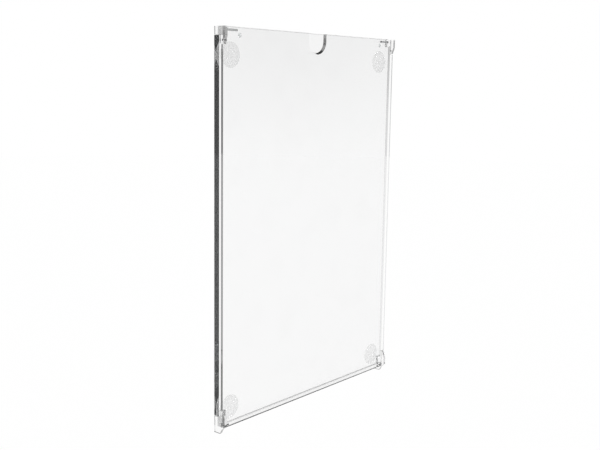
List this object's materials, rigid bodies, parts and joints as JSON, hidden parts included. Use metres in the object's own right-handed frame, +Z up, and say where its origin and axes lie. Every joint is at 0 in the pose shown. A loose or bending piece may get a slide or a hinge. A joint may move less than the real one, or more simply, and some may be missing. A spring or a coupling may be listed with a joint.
{
  "type": "wall sign holder",
  "caption": "Clear acrylic wall sign holder: a thick back plate on round adhesive pads, and a thin front cover with a thumb notch that swings down on pins in its corner blocks.",
  "frame": {"origin": "on the wall plane, midway between the four wall pads", "axes": "+X to the right seen from the front, +Y into the wall, +Z up; the front faces -Y"},
  "size_m": [0.216, 0.013, 0.31],
  "materials": {
    "plate_acrylic": "clear cast acrylic with polished edges",
    "cover_acrylic": "clear acrylic sheet with polished edges",
    "rail_acrylic": "clear acrylic strip",
    "stop_acrylic": "smoky acrylic strip",
    "block_acrylic": "clear moulded acrylic",
    "pip_silicone": "clear soft silicone",
    "pad_gel": "milky translucent adhesive gel",
    "pin_steel": "ground steel"
  },
  "bodies": {
    "holder": {"back_plate": "plate_acrylic", "corner_block_top_left": "block_acrylic", "corner_block_top_right": "block_acrylic", "corner_block_bottom_left": "block_acrylic", "corner_block_bottom_right": "block_acrylic", "hinge_pin_left": "pin_steel", "hinge_pin_right": "pin_steel", "catch_pin_left": "pin_steel", "catch_pin_right": "pin_steel", "sheet_stop_left": "stop_acrylic", "sheet_stop_right": "stop_acrylic", "wall_pad_upper_left": "pad_gel", "wall_pad_upper_right": "pad_gel", "wall_pad_lower_left": "pad_gel", "wall_pad_lower_right": "pad_gel"},
    "cover": {"front_cover": "cover_acrylic", "hinge_rail": "rail_acrylic", "sheet_pip_left": "pip_silicone", "sheet_pip_right": "pip_silicone"}
  },
  "joints": [
    {"name": "cover_hinge", "type": "hinge", "parent": "holder", "child": "cover", "pos_m": [0, -0.00945, -0.1476], "axis": [1, 0, 0], "range_deg": [0, 170]}
  ]
}
